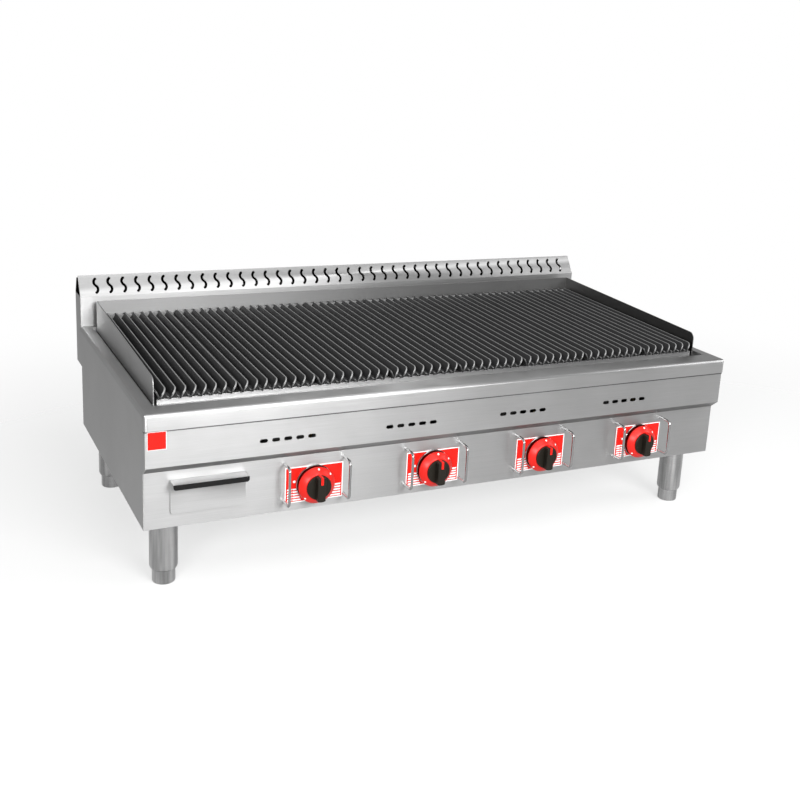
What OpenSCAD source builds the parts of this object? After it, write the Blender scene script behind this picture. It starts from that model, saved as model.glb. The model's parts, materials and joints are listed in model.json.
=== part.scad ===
/* [Casing] */
// Width over the rim of the top frame
rim_w = 1220; // [1190:5:1250]
// How far the rim stands out past the casing
rim_overhang = 3.5; // [2:0.5:6]
// Depth of the casing, front panel to rear panel
casing_d = 587; // [570:1:600]
// Thickness of the casing sheet
sheet = 1.5; // [1.2:0.1:2]
// Radius of the rim's rounded nose
nose_r = 8; // [4:1:12]
// How far the control panel is set back from the front panel
step_back = 18.5; // [12:0.5:24]

/* [Heights] */
// Underside of the casing
z_base = 125; // [110:1:140]
// Top edge of the control panel
z_control = 228; // [220:1:236]
// Lower edge of the upper front panel, where its chamfer starts
z_chamfer = 243; // [240:1:248]
// Lower edge of the rim's apron
z_apron = 309; // [300:1:315]
// Top of the rim
z_rim = 339; // [334:1:344]
// Floor of the recess inside the rim
z_recess = 331; // [326:1:333]
// Fold where the flue front starts to lean back
z_fold = 402; // [390:1:410]
// Top edge of the flue front
z_top = 441.5; // [430:0.5:450]
// Underside of the flue duct
z_flue = 251; // [240:1:256]

/* [Rim opening] */
// Depth of the front band of the rim
front_band = 38; // [34:1:42]
// Width of each side band of the rim
side_band = 25; // [22:1:28]
// Rear edge of the recess
recess_back = 574; // [570:1:578]
// Half width of the firebox opening
mouth_half = 571; // [565:1:572]
// Front edge of the firebox opening
mouth_front = 80; // [76:1:84]
// Rear edge of the firebox opening
mouth_back = 553; // [548:1:555]

/* [Flue] */
// Depth of the flue duct behind the casing
flue_d = 58; // [50:1:66]
// How far the flue front leans back at its top edge
flue_lean = 27.3; // [20:0.1:32]
// Number of S-shaped vents
vent_count = 41; // [30:1:41]
// Spacing of the vents
vent_pitch = 28.6; // [24:0.1:28.6]
// Width of a vent
vent_w = 5.5; // [4:0.5:7]
// Radius of the two arcs of a vent
vent_r = 10.1; // [8:0.1:11]

/* [Splash guard] */
// Half width over the side guards
guard_half = 577.5; // [576:0.5:579]
// Front end of the side guards
guard_front = 66; // [60:1:80]
// Outer face of the rear guard
guard_back = 567; // [562:1:570]
// Height of the guard's top edge at the rear
guard_z_back = 396; // [388:1:404]
// Height of the guard's top edge at the front
guard_z_front = 380; // [370:1:388]

/* [Grates] */
// Number of grate sections
grate_count = 8; // [4:1:8]
// Spacing of the sections
grate_pitch = 145.2; // [140:0.1:145.4]
// Ribs in a full section
rib_count = 8; // [6:1:8]
// Spacing of the ribs
rib_pitch = 17.8; // [16:0.1:18]
// Left edge of the first section
grate_x0 = -575.6; // [-575.6:0.1:-570]
// Front end of the grates
grate_front = 60; // [56:1:66]
// Length of a grate, front to back
grate_len = 500; // [480:1:502]
// Slope of the grates, rising to the back
grate_slope = 1.3; // [0.5:0.1:2]
// Height of a rib above its trough
rib_h = 16; // [12:0.5:18]
// Sideways lean of a rib, trough to tip
rib_lean = 10; // [6:0.5:12]
// Thickness of a rib
rib_t = 3.4; // [3:0.1:4]

/* [Controls] */
// Spacing of the knobs and of the burners
knob_pitch = 239; // [220:1:240]
// Sideways offset of the row of knobs
knob_shift = 57.5; // [50:0.5:60]
// Height of the knob axes
knob_z = 173; // [168:1:178]
// Width of a control plate
plate_w = 111; // [100:1:115]
// Height of a control plate
plate_h = 68; // [60:1:72]
// Outer radius of a knob's skirt
skirt_r = 34.5; // [30:0.5:36]
// Radius of the round part of a knob's grip
grip_r = 23; // [20:0.5:25]
// Travel of a knob when it is pushed in
push = 4; // [2:0.5:4.5]
// Wire diameter of the knob guards
wire_d = 5; // [4:0.5:6]
// How far the knob guards stand out from the panel
wire_reach = 31; // [28:1:40]

/* [Grease drawer] */
// Left edge of the drawer front
drawer_x0 = -561.5; // [-570:0.5:-555]
// Width of the drawer front
drawer_w = 132; // [120:1:136]
// Underside of the drawer front
drawer_z0 = 149.5; // [145:0.5:152]
// Height of the drawer front
drawer_h = 62; // [56:0.5:63]
// Depth of the drawer pan
drawer_d = 448; // [400:1:470]

/* [Legs] */
// Distance of the legs from the middle, left and right
leg_x = 560; // [540:1:565]
// Distance of the front legs behind the front panel
leg_front = 72.5; // [60:0.5:80]
// Distance of the rear legs behind the front panel
leg_back = 536; // [520:1:550]
// Outer radius of a leg tube
leg_r = 25; // [22:0.5:28]
// Radius of a foot
foot_r = 20.4; // [18:0.1:22]
// Height at which the leg tube ends
leg_z = 26; // [22:1:30]

/* [Gas] */
// Radius of the gas manifold pipe
pipe_r = 13.45; // [13:0.05:14]
// Radius of the inlet's pipe thread
inlet_r = 13.22; // [13:0.01:13.4]
// Length of the inlet's pipe thread
inlet_len = 20; // [15:1:25]
// Height of the burner tubes
burner_z = 262; // [258:1:266]
// Radius of a burner tube
burner_r = 16; // [14:0.5:17]

/* [Hidden] */
$fn = 64;
EPS = 0.1;

// Back of the flue.
y_max = casing_d + flue_d;
half = rim_w / 2;
casing_half = half - rim_overhang;
inner_half = casing_half - sheet;
pan_z = z_base + sheet;

// Colours of the finishes.
steel = "silver";
dark_steel = "dimgray";
iron = [0.15, 0.15, 0.16];
red = [0.85, 0.1, 0.07];

// Panels stop short of the rim's rounded underside.
lip_z = z_rim - 4;
recess_half = half - side_band;
recess_floor = z_recess - sheet;
chamfer_a = atan2(z_chamfer - z_control, step_back);
flange_w = 15;
flange_z = pan_z + sheet;

// Vents above the knobs and the flue port.
air_slots = 5;
air_pitch = 22.1;
air_z = 270;
slot_r = 3.5;
slot_reach = 3.75;
port_half = 560;
port_z0 = 268;
port_z1 = 322;
lean_a = atan2(flue_lean, z_top - z_fold);
flue_half = casing_half - 0.5;
hood_y = y_max - 14;
hood_z = z_top - 7.5;
hood_a = atan2(y_max - hood_y, hood_z - z_fold + 1);
vent_mid = 23.5;
vent_a = 50;

// Casing screws, and the bolts and studs of the legs.
rear_screw_z = [145, 190, 235];
base_screw_y = [120, 300, 480];
screw_x = inner_half - flange_w / 2;
screw_r = 2;
screw_hole_r = 2.1;
screw_head_r = 4.5;
screw_head_h = 2.5;
bolt_r = 6;
bolt_hole_r = 6.1;
bolt_len = 25;
bolt_nut_h = 10;
leg_pad_half = 30;
leg_pad_t = 3;
leg_nut_z0 = 66;
leg_nut_z1 = 78;
stud_r = 8;
stud_z = 105;
foot_z = 58;
foot_edge = 1.5;

// Grate casting: cross bars below the ribs, and the web at the rear.
trough_x = 8.3;
bar_x0 = 5;
bar_w = 14;
bar_h = 6;
bar_inset = 6;
web_share = 0.9;
web_inset = 2;
web_t = 3;

// Firebox and drip tray.
box_z0 = 232;
tray_z_left = 212;
tray_z_right = 224;
grate_z = 341;
rest_gap = 0.3;
slope_rise = tan(grate_slope);
radiant_y0 = 100;
radiant_y1 = 528;
radiant_z = 290;
radiant_bar = 6;
radiant_half = 92;
tube_gap = 45;
burner_wall = 3;
burner_y0 = 56;
burner_tube_y0 = 100;
burner_tube_y1 = 530;
burner_cross_y = [118, 420];
burner_flange_r = burner_r + 4;

// Drawer pan, centred behind the drawer front.
drawer_mid = drawer_x0 + drawer_w / 2;
pan_half = drawer_w / 2 - 6;
pan_y0 = 16.5;
pan_z0 = drawer_z0 + 5.5;
pan_z1 = drawer_z0 + drawer_h - 8.5;
drawer_face = step_back - 3.5;

// Knob and valve stations along Y.
spindle_r = 4;
fit_gap = 0.05;
panel_hole_r = 9;
plate_t = 0.8;
bezel_r = skirt_r + 0.3;
skirt_back = 5.5;
skirt_front = -6;
bar_front = -23;
pointer_t = 1;
wire_offset = 57;
bar_half = 7.5;
pointer_half = 2.4;
skirt_rim_r = 24.4;
tap_half = 13;
tap_drop = 15;
tap_rise = 17;
tap_y0 = 36;
tap_nut_h = 6;
neck_r = 8.5;
spigot_r = 5.9;
manifold_y = 70;
feed_y = 46;

// Foremost point of the grill, on the knobs' pointers, and its middle.
y_min = bar_front - pointer_t;
y_mid = (y_min + y_max) / 2;

// Badge on the front panel.
badge_x0 = -603;
badge_z0 = 275.5;
badge_size = 32;

// X of knob i, and of the burner that it feeds.
function burner_x(i) = (i - 2.5) * knob_pitch;
function knob_x(i) = burner_x(i) + knob_shift;

// Everything is drawn from the front panel's face and the floor, then centred.
module placed() {
    translate([0, -y_mid, 0]) children();
}

// Extrudes an outline drawn in (depth, height) from x0 to x1.
module along_x(x0, x1) {
    translate([x0, 0, 0]) rotate([90, 0, 90]) linear_extrude(x1 - x0) children();
}

// Extrudes an outline drawn in (width, height) from y0 to y1.
module along_y(y0, y1) {
    translate([0, y1, 0]) rotate([90, 0, 0]) linear_extrude(y1 - y0) children();
}

// A box given by its lowest and highest corners.
module span(low, high) {
    translate(low) cube(high - low);
}

// A cylinder along Y from y0 to y1, centred on (x, z).
module rod_y(x, z, r, y0, y1) {
    translate([x, y1, z]) rotate([90, 0, 0]) cylinder(h = y1 - y0, r = r);
}

// A cylinder along X from x0 to x1, centred on (y, z).
module rod_x(y, z, r, x0, x1) {
    translate([x0, y, z]) rotate([0, 90, 0]) cylinder(h = x1 - x0, r = r);
}

// A cylinder along Z from z0 to z1, centred on (x, y).
module rod_z(x, y, r, z0, z1) {
    translate([x, y, z0]) cylinder(h = z1 - z0, r = r);
}

// Rectangle with one or both of its upper corners rounded.
module nosed(w, h, r, both) {
    square([w, h - r]);
    translate([r, 0]) square([both ? w - 2 * r : w - r, h]);
    translate([r, h - r]) circle(r);
    if (both) translate([w - r, h - r]) circle(r);
}

// ---- Casing ----

// Solid form of the rim, inset by the sheet's thickness or not.
module rim_form(inset, z0) {
    r = nose_r - inset;
    w = rim_w - 2 * inset;
    h = z_rim - inset - z0;
    y0 = -rim_overhang + inset;
    intersection() {
        along_x(-w / 2, w / 2) translate([y0, z0]) nosed(casing_d - y0, h, r, false);
        along_y(y0, casing_d) translate([-w / 2, z0]) nosed(w, h, r, true);
        translate([0, 0, z0]) linear_extrude(h)
            translate([w / 2, casing_d]) rotate(180) nosed(w, casing_d - y0, r, true);
    }
}

// Rim, apron and the recess around the firebox mouth.
module top_frame() {
    color(steel) placed() {
        difference() {
            rim_form(0, z_apron);
            rim_form(sheet, z_apron - 1);
            span([-recess_half, front_band, z_apron], [recess_half, recess_back, z_rim + 1]);
        }
        difference() {
            span([-recess_half - sheet, front_band - sheet, recess_floor],
                 [recess_half + sheet, recess_back + sheet, z_rim - 1]);
            span([-recess_half, front_band, z_recess], [recess_half, recess_back, z_rim]);
            span([-mouth_half, mouth_front, recess_floor - 1],
                 [mouth_half, mouth_back, z_recess + 1]);
        }
    }
}

// Side of the casing with its folded flanges, drawn for the left side.
module side_panel() {
    x = -inner_half;
    difference() {
        union() {
            along_x(-casing_half, x) polygon([
                [0, lip_z], [0, z_chamfer], [step_back, z_control],
                [step_back, z_base], [casing_d, z_base], [casing_d, lip_z]]);
            span([x, step_back + sheet, z_base], [x + flange_w, casing_d - sheet, pan_z]);
            span([x, casing_d - 2 * sheet, flange_z], [x + flange_w, casing_d - sheet, lip_z]);
            span([x, sheet, z_chamfer + 4], [x + flange_w, 2 * sheet, lip_z]);
            span([x, step_back + sheet, flange_z],
                 [x + flange_w, step_back + 2 * sheet, z_control - 2 * sheet]);
        }
        side_screw_holes();
    }
}

module left_side_panel() {
    color(steel) placed() side_panel();
}

module right_side_panel() {
    color(steel) placed() mirror([1, 0, 0]) side_panel();
}

// One rounded air slot through the front panel.
module air_slot(x) {
    for (side = [-1, 1]) rod_y(x + side * slot_reach, air_z, slot_r, -1, 3);
    span([x - slot_reach, -1, air_z - slot_r], [x + slot_reach, 3, air_z + slot_r]);
}

// Front panel with its chamfer and the air slots over each burner.
module upper_front_panel() {
    inner_fold = z_chamfer + sheet * (1 - sin(chamfer_a)) / cos(chamfer_a);
    color(steel) placed() difference() {
        along_x(-inner_half, inner_half) polygon([
            [0, lip_z], [0, z_chamfer], [step_back, z_control],
            [step_back + flange_w, z_control], [step_back + flange_w, z_control + sheet],
            [step_back + sheet * tan(chamfer_a / 2), z_control + sheet],
            [sheet, inner_fold], [sheet, lip_z]]);
        for (i = [1:4], j = [1:air_slots])
            air_slot(burner_x(i) + (j - (air_slots + 1) / 2) * air_pitch);
    }
}

// Set-back panel that carries the controls and the drawer.
module control_panel() {
    face_y = step_back + sheet;
    color(steel) placed() difference() {
        union() {
            span([-inner_half, step_back, z_base], [inner_half, face_y, z_control]);
            span([-inner_half, face_y, z_control - sheet],
                 [inner_half, face_y + flange_w, z_control]);
            span([-inner_half + flange_w, face_y, z_base],
                 [inner_half - flange_w, face_y + 40, pan_z]);
        }
        span([drawer_mid - pan_half - 2, step_back - 1, pan_z0 - 2],
             [drawer_mid + pan_half + 2, face_y + 1, pan_z1 + 3]);
        for (i = [1:4]) rod_y(knob_x(i), knob_z, panel_hole_r, step_back - 1, face_y + 1);
    }
}

// Back of the casing, with the port into the flue and the hole for the gas pipe.
module rear_panel() {
    y0 = casing_d - sheet;
    color(steel) placed() difference() {
        span([-inner_half, y0, z_base], [inner_half, casing_d, z_rim - sheet]);
        span([-port_half, y0 - 1, port_z0], [port_half, casing_d + 1, port_z1]);
        rod_y(leg_x, knob_z, pipe_r + 1, y0 - 1, casing_d + 1);
        side_screw_holes();
        mirror([1, 0, 0]) side_screw_holes();
    }
}

// Bottom of the casing.
module base_pan() {
    color(steel) placed() difference() {
        span([-inner_half + 0.5, step_back + 2 * sheet + 0.5, pan_z],
             [inner_half - 0.5, casing_d - 2, pan_z + sheet]);
        for (p = leg_places()) rod_z(p[0], p[1], bolt_hole_r + 0.2, pan_z - 1, pan_z + sheet + 1);
        side_screw_holes();
        mirror([1, 0, 0]) side_screw_holes();
    }
}

// Holes for the left side's screws, three in the back and three below.
module side_screw_holes() {
    for (z = rear_screw_z) rod_y(-screw_x, z, screw_hole_r, casing_d - 10, casing_d + 1);
    for (y = base_screw_y) rod_z(-screw_x, y, screw_hole_r, z_base - 1, z_base + 10);
}

module side_screws() {
    for (z = rear_screw_z) {
        rod_y(-screw_x, z, screw_r, casing_d - 8, casing_d + 1);
        rod_y(-screw_x, z, screw_head_r, casing_d, casing_d + screw_head_h);
    }
    for (y = base_screw_y) {
        rod_z(-screw_x, y, screw_r, z_base - 1, z_base + 8);
        rod_z(-screw_x, y, screw_head_r, z_base - screw_head_h, z_base);
    }
}

module casing_screws() {
    color(dark_steel) placed() {
        side_screws();
        mirror([1, 0, 0]) side_screws();
    }
}

// ---- Flue ----

// Outline of one S-shaped vent, centred on its middle, with rounded joins.
module s_vent() {
    reach = 4 * vent_r;
    join_r = vent_w / 2 + 0.15;
    circle(join_r);
    for (turn = [0, 180]) rotate(turn) translate(vent_r * [cos(vent_a), sin(vent_a)]) {
        intersection() {
            difference() {
                circle(vent_r + vent_w / 2);
                circle(vent_r - vent_w / 2);
            }
            polygon([[0, 0], reach * [-cos(vent_a), sin(vent_a)],
                     reach * [-cos(vent_a), -sin(vent_a)]]);
        }
        translate(vent_r * [-cos(vent_a), sin(vent_a)]) circle(join_r);
    }
}

// Front of the flue: an upright foot and a vented face that leans back.
module flue_front() {
    foot_z = z_rim - 13;
    fold_drop = sheet * tan(lean_a / 2);
    top_y = casing_d + flue_lean;
    color(steel) placed() difference() {
        along_x(-flue_half, flue_half) polygon([
            [casing_d, foot_z], [casing_d, z_fold], [top_y, z_top],
            [top_y + sheet * cos(lean_a), z_top - sheet * sin(lean_a)],
            [casing_d + sheet, z_fold - fold_drop], [casing_d + sheet, foot_z]]);
        for (i = [1:vent_count])
            translate([(i - (vent_count + 1) / 2) * vent_pitch, casing_d, z_fold])
                rotate([90 - lean_a, 0, 0])
                    translate([0, vent_mid, -3]) linear_extrude(5) s_vent();
    }
}

// Back wall and underside of the flue duct.
module flue_back() {
    w = flue_half - sheet;
    color(steel) placed() along_x(-w, w) polygon([
        [casing_d, z_flue], [y_max, z_flue], [y_max, z_fold - 1], [y_max - sheet, z_fold - 1],
        [y_max - sheet, z_flue + sheet], [casing_d, z_flue + sheet]]);
}

// Sheet that leans forward over the duct, leaving a slot along the ridge.
module flue_hood() {
    z0 = z_fold - 1;
    color(steel) placed() along_x(-flue_half, flue_half) polygon([
        [y_max, z0], [hood_y, hood_z],
        [hood_y - sheet * cos(hood_a), hood_z - sheet * sin(hood_a)],
        [y_max - sheet / cos(hood_a), z0]]);
}

// The two plates that close the ends of the flue duct.
module flue_end_caps() {
    color(steel) placed() for (side = [0, 1]) mirror([side, 0, 0])
        span([-flue_half, casing_d + sheet, z_flue], [-flue_half + sheet, y_max, z_fold - 1]);
}

// ---- Cooking top ----

// One side of the splash guard, with its front corner rounded.
module guard_side() {
    r = 14;
    f = guard_front;
    along_x(-guard_half, -guard_half + sheet) {
        polygon([[f, z_recess], [guard_back, z_recess], [guard_back, guard_z_back],
                 [f + r, guard_z_front], [f, guard_z_front - r]]);
        translate([f + r, guard_z_front - r]) circle(r);
    }
}

// Three-sided guard that stands in the recess around the grates.
module splash_guard() {
    inner = guard_half - sheet;
    color(steel) placed() {
        guard_side();
        mirror([1, 0, 0]) guard_side();
        span([-inner - EPS, guard_back - sheet, z_recess],
             [inner + EPS, guard_back, guard_z_back]);
    }
}

// Front and sides of the box below the mouth, with two bars across it for the radiants.
module firebox() {
    front = mouth_front + 2;
    inner = mouth_half - sheet;
    color(dark_steel) placed() {
        difference() {
            span([-mouth_half, front, box_z0], [mouth_half, mouth_back - sheet, recess_floor]);
            span([-inner, front + sheet, box_z0 - 1], [inner, mouth_back, z_rim]);
            for (i = [1:4]) rod_y(burner_x(i), burner_z, burner_r + 1, front - 1, front + 5);
        }
        for (y = [radiant_y0, radiant_y1 - radiant_bar])
            span([-inner - EPS, y, radiant_z - radiant_bar],
                 [inner + EPS, y + radiant_bar, radiant_z]);
    }
}

// Rear wall of the firebox, over which the flue gas leaves.
module firebox_back() {
    color(dark_steel) placed()
        span([-mouth_half, mouth_back - sheet, box_z0], [mouth_half, mouth_back, port_z0 + 4]);
}

// Rail along the top of the firebox's rear port.
module firebox_back_rail() {
    color(dark_steel) placed()
        span([-mouth_half, mouth_back - sheet, port_z1], [mouth_half, mouth_back, recess_floor]);
}

// Bars that carry the front and rear ends of the grates.
module grate_rests() {
    rear_y = mouth_back + 1;
    rear_z = grate_z + (rear_y - grate_front) * slope_rise - rest_gap;
    color(steel) placed() {
        span([-mouth_half, guard_front, z_recess],
             [mouth_half, guard_front + 12, grate_z - rest_gap]);
        span([-mouth_half, rear_y, z_recess], [mouth_half, rear_y + 10, rear_z]);
    }
}

// Bar with rounded ends between two points of an outline.
module stroke(p, q, t) {
    d = q - p;
    translate(p) rotate(atan2(d[1], d[0])) translate([0, -t / 2]) square([norm(d), t]);
    translate(p) circle(t / 2);
    translate(q) circle(t / 2);
}

// Middle of the grease trough that rib k rises from.
function trough(k) = [trough_x + k * rib_pitch, rib_t / 2];

// Outline of a grate section: leaning ribs, each rising from a grease trough.
module rib_outline(ribs) {
    lip_t = 2.6;
    for (k = [0:ribs - 1]) {
        stroke(trough(k), trough(k) + [rib_lean, rib_h], rib_t);
        stroke(trough(k), trough(k) + (k == 0 ? [-6.2, 13.5] : [-5, 3.6]), lip_t);
    }
}

// Outline of the web that closes the troughs at the rear, just below the ribs' tops.
module web_outline(ribs) {
    rise = [rib_lean, rib_h] * web_share;
    polygon([trough(0), trough(ribs - 1), trough(ribs - 1) + rise, trough(0) + rise]);
}

// One cast grate section, sloping down to the front.
module grate(i) {
    ribs = i == grate_count ? rib_count - 1 : rib_count;
    bar_x1 = bar_x0 + 7 + (ribs - 1) * rib_pitch;
    bar_gap = (grate_len - bar_w - 2 * bar_inset) / 3;
    color(iron) placed()
        translate([grate_x0 + (i - 1) * grate_pitch, grate_front, grate_z])
            rotate([grate_slope, 0, 0]) {
                along_y(0, grate_len) rib_outline(ribs);
                along_y(grate_len - web_inset - web_t, grate_len - web_inset) web_outline(ribs);
                for (j = [0:3])
                    span([bar_x0, bar_inset + j * bar_gap, 0],
                         [bar_x1, bar_inset + bar_w + j * bar_gap, bar_h]);
            }
}

// ---- Burners and gas ----

// Twin-tube burner with a cross tube at each end of its flame field.
module burner_form(x, wall) {
    r = burner_r - wall;
    for (side = [-tube_gap, tube_gap])
        rod_y(x + side, burner_z, r, burner_tube_y0 + wall, burner_tube_y1 - wall);
    for (y = burner_cross_y) rod_x(y, burner_z, r - 2, x - tube_gap, x + tube_gap);
    rod_y(x, burner_z, r - 1, burner_y0, burner_cross_y[0]);
}

module burner(i) {
    x = burner_x(i);
    flame_y0 = 140;
    flame_step = 24;
    flame_r = 1.5;
    flange_t = 12;
    pin_r = 5;
    color(iron) placed() {
        difference() {
            union() {
                burner_form(x, 0);
                rod_y(x, burner_z, burner_flange_r, burner_y0, burner_y0 + flange_t);
            }
            burner_form(x, burner_wall);
            rod_y(x, burner_z, burner_r, burner_y0 - 1, burner_y0 + 4);
            for (side = [-tube_gap, tube_gap], j = [0:15])
                rod_z(x + side, flame_y0 + j * flame_step, flame_r,
                      burner_z, burner_z + burner_r + 1);
        }
        for (side = [-tube_gap, tube_gap])
            rod_y(x + side, burner_z, pin_r, burner_tube_y1 - 2, mouth_back - sheet);
    }
}

// Folded steel radiants, one over each burner.
module radiants() {
    ridge = radiant_z + 22;
    t = 2;
    outline = [[-radiant_half, radiant_z], [-tube_gap, ridge], [0, radiant_z + 4],
               [tube_gap, ridge], [radiant_half, radiant_z]];
    color(dark_steel) placed() for (i = [1:4])
        translate([burner_x(i), 0, 0]) along_y(radiant_y0, radiant_y1)
            polygon(concat(outline, [for (k = [4:-1:0]) outline[k] + [0, t]]));
}

// Sloping tray below the firebox, with a chute over the grease drawer.
module drip_tray() {
    front = mouth_front + 2;
    inner = mouth_half - sheet;
    chute_x0 = drawer_mid - 45;
    chute_x1 = drawer_mid + 45;
    chute_y0 = 150;
    chute_y1 = 350;
    chute_z = pan_z1 + 3;
    color(steel) placed() difference() {
        union() {
            along_y(front, mouth_back) polygon([
                [-mouth_half, tray_z_left], [mouth_half, tray_z_right],
                [mouth_half, box_z0], [-mouth_half, box_z0]]);
            span([chute_x0 - sheet, chute_y0 - sheet, chute_z],
                 [chute_x1 + sheet, chute_y1 + sheet, tray_z_left + 5]);
        }
        along_y(front + sheet, mouth_back - sheet) polygon([
            [-inner, tray_z_left + sheet], [inner, tray_z_right + sheet],
            [inner, box_z0 + 1], [-inner, box_z0 + 1]]);
        span([chute_x0, chute_y0, chute_z - 1], [chute_x1, chute_y1, box_z0 + 1]);
    }
}

// Pipe run along the valves and back along the right side.
module manifold_run(r, x0, y1) {
    rod_x(manifold_y, knob_z, r, x0, leg_x);
    translate([leg_x, manifold_y, knob_z]) sphere(r);
    rod_y(leg_x, knob_z, r, manifold_y, y1);
}

// Gas manifold; its rear end is the threaded gas inlet.
module gas_manifold() {
    x0 = knob_x(1) - 30;
    wall = 2.65;
    thread_y = casing_d + 5;
    color(iron) placed() difference() {
        union() {
            manifold_run(pipe_r, x0, thread_y);
            rod_y(leg_x, knob_z, inlet_r, thread_y - 1, thread_y + inlet_len);
        }
        manifold_run(pipe_r - wall, x0 + 3, thread_y + inlet_len + 1);
        for (i = [1:4]) rod_y(knob_x(i), knob_z, 6, manifold_y - pipe_r - 2, manifold_y);
    }
}

// Gas taps, one behind each knob, fed by the manifold.
module gas_valves() {
    back = manifold_y - pipe_r - 1.5;
    color("goldenrod") placed() for (i = [1:4]) {
        x = knob_x(i);
        difference() {
            union() {
                span([x - tap_half, tap_y0, knob_z - tap_drop],
                     [x + tap_half, back, knob_z + tap_rise]);
                rod_y(x, knob_z, neck_r, step_back + 2 * sheet, tap_y0 + 1);
                rod_y(x, knob_z, spigot_r, back - 1, back + 8);
                translate([x, feed_y, knob_z + tap_rise]) cylinder(h = tap_nut_h, r = 7, $fn = 6);
            }
            rod_y(x, knob_z, spindle_r + fit_gap, step_back, tap_y0 + 14);
        }
    }
}

// Pipes that take the gas from each tap up to its burner.
module feed_run(i, r, z0, y1) {
    rod_z(knob_x(i), feed_y, r, z0, burner_z);
    translate([knob_x(i), feed_y, burner_z]) sphere(r);
    rod_x(feed_y, burner_z, r, burner_x(i), knob_x(i));
    translate([burner_x(i), feed_y, burner_z]) sphere(r);
    rod_y(burner_x(i), burner_z, r, feed_y, y1);
}

module burner_feed_pipes() {
    z0 = knob_z + tap_rise + tap_nut_h;
    color("goldenrod") placed() for (i = [1:4]) difference() {
        feed_run(i, 4, z0, 62);
        feed_run(i, 2.8, z0 - 1, 63);
    }
}

// ---- Controls ----

module control_plates() {
    color(red) placed() for (i = [1:4]) difference() {
        span([knob_x(i) - plate_w / 2, step_back - plate_t, knob_z - plate_h / 2],
             [knob_x(i) + plate_w / 2, step_back, knob_z + plate_h / 2]);
        rod_y(knob_x(i), knob_z, panel_hole_r, step_back - 2, step_back + 1);
    }
}

// Chromed dish behind each knob.
module knob_bezels() {
    back = step_back - plate_t;
    color("gainsboro") placed() for (i = [1:4]) difference() {
        rod_y(knob_x(i), knob_z, bezel_r, back - 4, back);
        rod_y(knob_x(i), knob_z, bezel_r - 5, back - 5, back - 1);
        rod_y(knob_x(i), knob_z, panel_hole_r, back - 5, back + 1);
    }
}

// Quarter bend of the guard wire in the plane across the panel.
module wire_bend(x, y, z, start, bend_r) {
    translate([x, y, z]) rotate([0, 90, 0]) rotate(start)
        rotate_extrude(angle = 90) translate([bend_r, 0]) circle(d = wire_d);
}

// Wire loops that stand on both sides of each knob.
module knob_wire_guards() {
    bend_r = 8;
    z0 = knob_z - 28.5;
    z1 = knob_z + 43;
    y0 = step_back - wire_reach;
    r = wire_d / 2;
    color("gainsboro") placed() for (i = [1:4], side = [-wire_offset, wire_offset]) {
        x = knob_x(i) + side;
        rod_y(x, z0, r, y0 + bend_r, step_back);
        rod_y(x, z1, r, y0 + bend_r, step_back);
        rod_z(x, y0, r, z0 + bend_r, z1 - bend_r);
        wire_bend(x, y0 + bend_r, z1 - bend_r, 180, bend_r);
        wire_bend(x, y0 + bend_r, z0 + bend_r, 270, bend_r);
    }
}

module valve_spindle(i) {
    color("silver") placed() rod_y(knob_x(i), knob_z, spindle_r, -12, 48);
}

// Black grip: a round base, a bar to turn it by and a hub on the spindle.
module knob_grip(i) {
    x = knob_x(i);
    base_front = skirt_front - 4;
    color([0.12, 0.11, 0.09]) placed() difference() {
        union() {
            rod_y(x, knob_z, grip_r, base_front, skirt_front);
            intersection() {
                rod_y(x, knob_z, grip_r, bar_front, skirt_front);
                span([x - bar_half, bar_front, knob_z - 30],
                     [x + bar_half, skirt_front, knob_z + 30]);
            }
            rod_y(x, knob_z, 8, skirt_front - 1, skirt_back);
        }
        rod_y(x, knob_z, spindle_r + fit_gap, bar_front + 4, skirt_back + 1);
    }
}

// Red skirt with the pointer that runs up and over the grip.
module knob_skirt(i) {
    x = knob_x(i);
    shell = 2.2;
    color(red) placed() {
        translate([x, 0, knob_z]) rotate([-90, 0, 0]) rotate_extrude() polygon([
            [8.3, skirt_front], [skirt_rim_r, skirt_front], [skirt_r, skirt_back - 2],
            [skirt_r, skirt_back], [skirt_r - shell, skirt_back],
            [skirt_rim_r - shell, skirt_front + shell], [8.3, skirt_front + shell]]);
        span([x - pointer_half, bar_front - pointer_t, knob_z + grip_r],
             [x + pointer_half, skirt_front + 1, knob_z + grip_r + 1.2]);
        span([x - pointer_half, bar_front - pointer_t, knob_z + 10],
             [x + pointer_half, bar_front, knob_z + grip_r + 1.2]);
    }
}

// Plain enamelled square on the front panel.
module badge() {
    color(red) placed() span([badge_x0, -plate_t, badge_z0],
                             [badge_x0 + badge_size, 0, badge_z0 + badge_size]);
}

// ---- Grease drawer ----

module drawer_runners() {
    ledge_z = pan_z0 - 0.5;
    color(dark_steel) placed() for (side = [0, 1])
        translate([drawer_mid, 0, 0]) mirror([side, 0, 0]) along_y(110, 500) polygon([
            [-pan_half - 4, pan_z + sheet], [-pan_half - 4 + sheet, pan_z + sheet],
            [-pan_half - 4 + sheet, ledge_z - sheet], [-pan_half + 10, ledge_z - sheet],
            [-pan_half + 10, ledge_z], [-pan_half - 4, ledge_z]]);
}

module grease_drawer() {
    t = 1.2;
    color(steel) placed() difference() {
        span([drawer_mid - pan_half, pan_y0, pan_z0],
             [drawer_mid + pan_half, pan_y0 + drawer_d, pan_z1]);
        span([drawer_mid - pan_half + t, pan_y0 + t, pan_z0 + t],
             [drawer_mid + pan_half - t, pan_y0 + drawer_d - t, pan_z1 + 1]);
    }
}

// Outline of the drawer front, inset by a margin.
module drawer_outline(inset) {
    translate([drawer_x0 + inset, drawer_z0 + drawer_h - inset]) mirror([0, 1])
        nosed(drawer_w - 2 * inset, drawer_h - 2 * inset, 6 - inset, true);
}

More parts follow.
